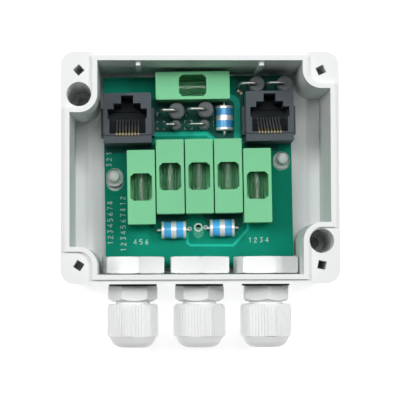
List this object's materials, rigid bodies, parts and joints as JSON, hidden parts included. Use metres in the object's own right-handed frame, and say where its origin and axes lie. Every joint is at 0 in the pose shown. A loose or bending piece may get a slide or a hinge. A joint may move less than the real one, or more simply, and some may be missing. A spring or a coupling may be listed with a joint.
{
  "type": "ethernet surge protector",
  "caption": "Open wall box that guards a data line: circuit board with upright data jacks, windowed fuse holders, gas tubes, diodes, and a row of cable glands.",
  "frame": {"origin": "middle of the box base's back face, which lies on the wall or table", "axes": "+Z out of the open box towards the lid, +Y away from the row of cable glands, +X along the box to the right as the picture shows it"},
  "size_m": [0.09, 0.0959, 0.038],
  "materials": {
    "case_plastic": "fine matte",
    "board_laminate": "solder mask",
    "jack_plastic": "satin",
    "contact_gold": "gold plated",
    "holder_plastic": "satin",
    "fuse_glass": "clear",
    "plated_metal": "nickel plated",
    "tinned_wire": "tinned",
    "tube_ceramic": "blue coat",
    "diode_plastic": "moulded",
    "gland_nylon": "satin nylon",
    "seal_rubber": "matte",
    "washer_rubber": "matte"
  },
  "bodies": {
    "base": {"enclosure_base": "case_plastic", "circuit_board": "board_laminate", "jack_housing_left": "jack_plastic", "jack_contacts_left": "contact_gold", "jack_housing_right": "jack_plastic", "jack_contacts_right": "contact_gold", "fuse_base_1": "holder_plastic", "fuse_base_2": "holder_plastic", "fuse_base_3": "holder_plastic", "fuse_base_4": "holder_plastic", "fuse_base_5": "holder_plastic", "fuse_base_6": "holder_plastic", "fuse_clips": "plated_metal", "gas_tube_ceramic_1": "tube_ceramic", "gas_tube_electrodes_1": "plated_metal", "gas_tube_ceramic_2": "tube_ceramic", "gas_tube_electrodes_2": "plated_metal", "gas_tube_ceramic_3": "tube_ceramic", "gas_tube_electrodes_3": "plated_metal", "diode_body_1": "diode_plastic", "diode_body_2": "diode_plastic", "diode_body_3": "diode_plastic", "diode_body_4": "diode_plastic", "diode_body_5": "diode_plastic", "diode_body_6": "diode_plastic", "diode_leads": "tinned_wire", "gland_body_left": "gland_nylon", "gland_body_middle": "gland_nylon", "gland_body_right": "gland_nylon", "lock_nuts": "gland_nylon", "sealing_washers": "washer_rubber"},
    "fuse_1": {"fuse_cover_1": "holder_plastic", "fuse_glass_1": "fuse_glass", "fuse_end_caps_1": "plated_metal"},
    "fuse_2": {"fuse_cover_2": "holder_plastic", "fuse_glass_2": "fuse_glass", "fuse_end_caps_2": "plated_metal"},
    "fuse_3": {"fuse_cover_3": "holder_plastic", "fuse_glass_3": "fuse_glass", "fuse_end_caps_3": "plated_metal"},
    "fuse_4": {"fuse_cover_4": "holder_plastic", "fuse_glass_4": "fuse_glass", "fuse_end_caps_4": "plated_metal"},
    "fuse_5": {"fuse_cover_5": "holder_plastic", "fuse_glass_5": "fuse_glass", "fuse_end_caps_5": "plated_metal"},
    "fuse_6": {"fuse_cover_6": "holder_plastic", "fuse_glass_6": "fuse_glass", "fuse_end_caps_6": "plated_metal"},
    "seal_left": {"gland_seal_left": "seal_rubber"},
    "cap_left": {"gland_cap_left": "gland_nylon"},
    "seal_middle": {"gland_seal_middle": "seal_rubber"},
    "cap_middle": {"gland_cap_middle": "gland_nylon"},
    "seal_right": {"gland_seal_right": "seal_rubber"},
    "cap_right": {"gland_cap_right": "gland_nylon"}
  },
  "joints": [
    {"name": "fuse_1_lift", "type": "slide", "parent": "base", "child": "fuse_1", "axis": [0, 0, 1], "range_m": [0, 0.014]},
    {"name": "fuse_2_lift", "type": "slide", "parent": "base", "child": "fuse_2", "axis": [0, 0, 1], "range_m": [0, 0.014]},
    {"name": "fuse_3_lift", "type": "slide", "parent": "base", "child": "fuse_3", "axis": [0, 0, 1], "range_m": [0, 0.014]},
    {"name": "fuse_4_lift", "type": "slide", "parent": "base", "child": "fuse_4", "axis": [0, 0, 1], "range_m": [0, 0.014]},
    {"name": "fuse_5_lift", "type": "slide", "parent": "base", "child": "fuse_5", "axis": [0, 0, 1], "range_m": [0, 0.014]},
    {"name": "fuse_6_lift", "type": "slide", "parent": "base", "child": "fuse_6", "axis": [0, 0, 1], "range_m": [0, 0.014]},
    {"name": "cap_left_advance", "type": "slide", "parent": "base", "child": "seal_left", "axis": [0, -1, 0], "range_m": [0, 0.00636]},
    {"name": "cap_left_turn", "type": "hinge", "parent": "seal_left", "child": "cap_left", "pos_m": [-0.022, -0.0513, 0.0195], "axis": [0, -1, 0], "range_deg": [0, 1800]},
    {"name": "cap_middle_advance", "type": "slide", "parent": "base", "child": "seal_middle", "axis": [0, -1, 0], "range_m": [0, 0.00636]},
    {"name": "cap_middle_turn", "type": "hinge", "parent": "seal_middle", "child": "cap_middle", "pos_m": [0, -0.0513, 0.0195], "axis": [0, -1, 0], "range_deg": [0, 1800]},
    {"name": "cap_right_advance", "type": "slide", "parent": "base", "child": "seal_right", "axis": [0, -1, 0], "range_m": [0, 0.00636]},
    {"name": "cap_right_turn", "type": "hinge", "parent": "seal_right", "child": "cap_right", "pos_m": [0.022, -0.0513, 0.0195], "axis": [0, -1, 0], "range_deg": [0, 1800]}
  ],
  "couplings": [
    {"joint": "cap_left_advance", "follows": "cap_left_turn", "m_per_rad": 0.00020213},
    {"joint": "cap_middle_advance", "follows": "cap_middle_turn", "m_per_rad": 0.00020213},
    {"joint": "cap_right_advance", "follows": "cap_right_turn", "m_per_rad": 0.00020213}
  ]
}
